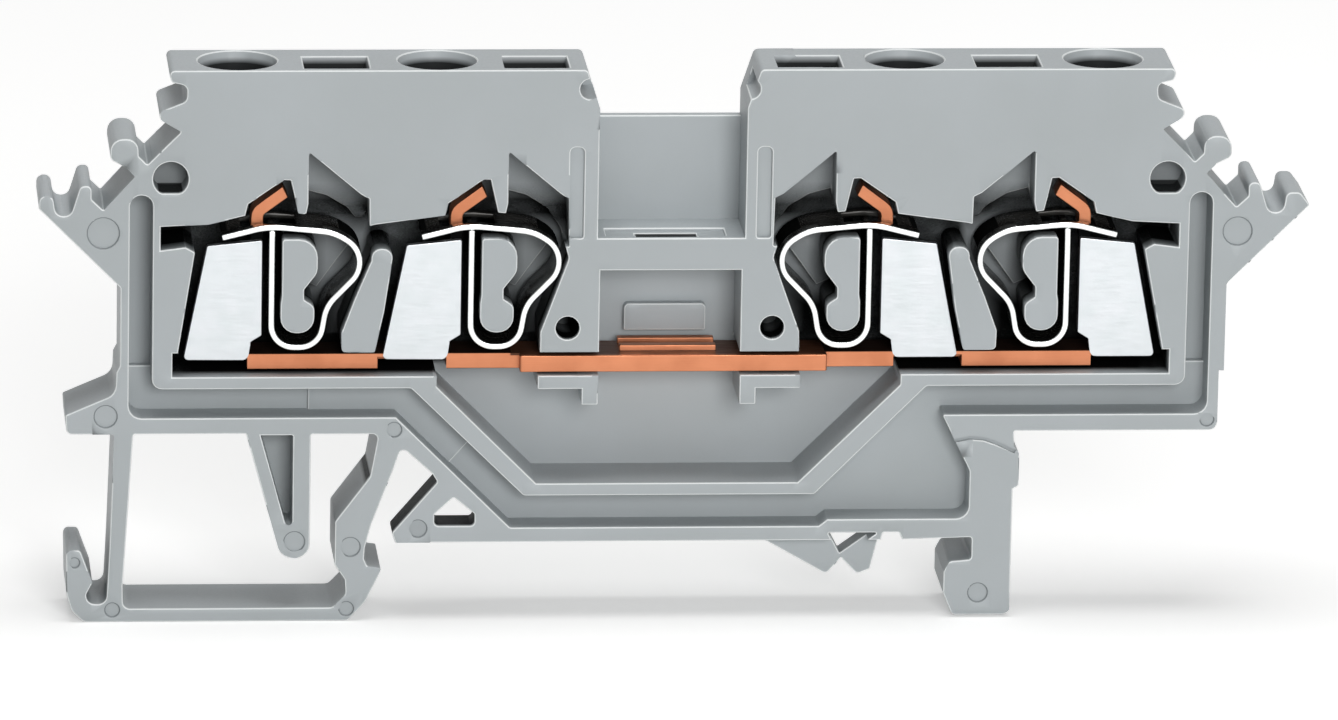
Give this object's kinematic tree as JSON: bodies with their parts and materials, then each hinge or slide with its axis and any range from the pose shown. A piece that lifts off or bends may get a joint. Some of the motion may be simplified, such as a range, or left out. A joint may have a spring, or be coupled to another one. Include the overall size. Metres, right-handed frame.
{
  "type": "terminal block",
  "caption": "Narrow rail-mounted terminal block, open on one side, with spring clamps along a common current bar and a sprung rail foot.",
  "frame": {"origin": "on the rail's centre line, middle of the block's width, level with the faces that sit on the rail", "axes": "+Z away from the rail towards the wire entries, +X along the block towards the fixed foot, +Y towards the closed side"},
  "size_m": [0.0734, 0.005, 0.0329],
  "materials": {
    "housing_plastic": "moulded grey polyamide, fine matt grain",
    "bar_copper": "bare copper, punched edges, tinned cheeks",
    "spring_steel": "bright rolled stainless spring steel"
  },
  "bodies": {
    "block": {"housing": "housing_plastic", "current_bar": "bar_copper"},
    "clamp_1": {"clamp_spring_1": "spring_steel"},
    "clamp_2": {"clamp_spring_2": "spring_steel"},
    "clamp_3": {"clamp_spring_3": "spring_steel"},
    "clamp_4": {"clamp_spring_4": "spring_steel"}
  },
  "joints": [
    {"name": "clamp_1_press", "type": "slide", "parent": "block", "child": "clamp_1", "axis": [-1, 0, 0], "range_m": [0, 0.0015], "stiffness_N_per_m": 20, "springref_m": -0.0005, "deforming": ["clamp_spring_1"]},
    {"name": "clamp_2_press", "type": "slide", "parent": "block", "child": "clamp_2", "axis": [-1, 0, 0], "range_m": [0, 0.0015], "stiffness_N_per_m": 20, "springref_m": -0.0005, "deforming": ["clamp_spring_2"]},
    {"name": "clamp_3_press", "type": "slide", "parent": "block", "child": "clamp_3", "axis": [1, 0, 0], "range_m": [0, 0.0015], "stiffness_N_per_m": 20, "springref_m": -0.0005, "deforming": ["clamp_spring_3"]},
    {"name": "clamp_4_press", "type": "slide", "parent": "block", "child": "clamp_4", "axis": [1, 0, 0], "range_m": [0, 0.0015], "stiffness_N_per_m": 20, "springref_m": -0.0005, "deforming": ["clamp_spring_4"]}
  ]
}
